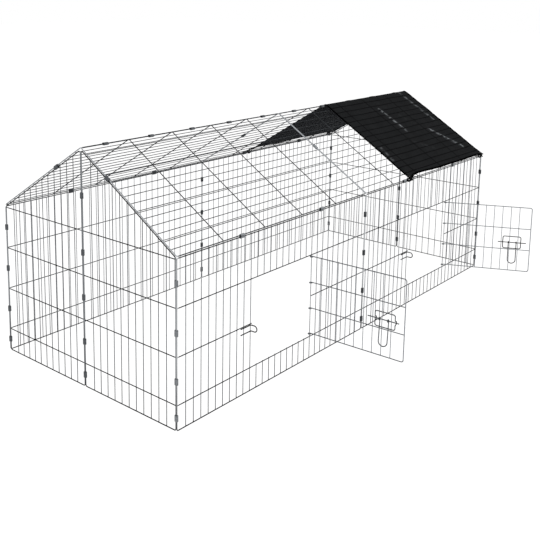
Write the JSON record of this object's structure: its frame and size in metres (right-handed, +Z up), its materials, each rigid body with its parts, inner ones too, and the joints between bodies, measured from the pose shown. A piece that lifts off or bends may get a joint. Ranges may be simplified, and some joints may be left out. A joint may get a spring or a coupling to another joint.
{
  "type": "outdoor rabbit run",
  "caption": "Outdoor run of clipped wire mesh panels with a pitched roof, hinged wire doors with sliding bolts, and a cloth sun cover over one end.",
  "frame": {"origin": "on the ground at the middle of the run's footprint, under the middle of the ridge", "axes": "+X along the ridge towards the covered end, +Y towards the back wall (the doors are on the -Y side), +Z up"},
  "size_m": [1.8085, 1.0809, 0.7207],
  "materials": {
    "panel_wire": "zinc-plated, satin",
    "latch_wire": "zinc-plated, satin",
    "clip": "dark plated sheet",
    "cover_cloth": "coated woven cloth, slight sheen",
    "tie_cord": "braided elastic"
  },
  "bodies": {
    "run": {"front_left_panel": "panel_wire", "front_right_panel": "panel_wire", "back_left_panel": "panel_wire", "back_right_panel": "panel_wire", "left_gable_front_panel": "panel_wire", "left_gable_back_panel": "panel_wire", "right_gable_front_panel": "panel_wire", "right_gable_back_panel": "panel_wire", "roof_front_left_panel": "panel_wire", "roof_front_right_panel": "panel_wire", "roof_back_left_panel": "panel_wire", "roof_back_right_panel": "panel_wire", "left_keeper": "latch_wire", "right_keeper": "latch_wire", "front_left_corner_clips": "clip", "front_right_corner_clips": "clip", "back_left_corner_clips": "clip", "back_right_corner_clips": "clip", "front_seam_clips": "clip", "back_seam_clips": "clip", "left_gable_clips": "clip", "right_gable_clips": "clip", "front_eave_clips": "clip", "back_eave_clips": "clip", "ridge_clips": "clip", "front_roof_seam_clip": "clip", "back_roof_seam_clip": "clip", "left_rafter_clips": "clip", "right_rafter_clips": "clip", "sun_cover": "cover_cloth", "front_left_cover_tie": "tie_cord", "front_right_cover_tie": "tie_cord", "back_left_cover_tie": "tie_cord", "back_right_cover_tie": "tie_cord"},
    "left_door": {"left_door": "panel_wire", "left_latch_guide": "latch_wire"},
    "left_bolt": {"left_bolt": "latch_wire"},
    "left_handle": {"left_bolt_handle": "latch_wire"},
    "right_door": {"right_door": "panel_wire", "right_latch_guide": "latch_wire"},
    "right_bolt": {"right_bolt": "latch_wire"},
    "right_handle": {"right_bolt_handle": "latch_wire"}
  },
  "joints": [
    {"name": "left_door_hinge", "type": "hinge", "parent": "run", "child": "left_door", "pos_m": [-0.30262, -0.3712, 0.206], "axis": [0, 0, 1], "range_deg": [-91.7, 64.8]},
    {"name": "left_bolt_slide", "type": "slide", "parent": "left_door", "child": "left_bolt", "axis": [0.0384, -0.9993, 0], "range_m": [-0.008, 0.021]},
    {"name": "left_handle_swing", "type": "hinge", "parent": "left_bolt", "child": "left_handle", "pos_m": [-0.27976, -0.62001, 0.18862], "axis": [0.0384, -0.9993, 0], "range_deg": [-0.3, 175]},
    {"name": "right_door_hinge", "type": "hinge", "parent": "run", "child": "right_door", "pos_m": [0.59762, -0.3712, 0.206], "axis": [0, 0, 1], "range_deg": [-115.8, 40.7]},
    {"name": "right_bolt_slide", "type": "slide", "parent": "right_door", "child": "right_bolt", "axis": [0.4431, -0.8965, 0], "range_m": [-0.017, 0.012]},
    {"name": "right_handle_swing", "type": "hinge", "parent": "right_bolt", "child": "right_handle", "pos_m": [0.72408, -0.59705, 0.18862], "axis": [0.4431, -0.8965, 0], "range_deg": [-0.3, 175]}
  ]
}
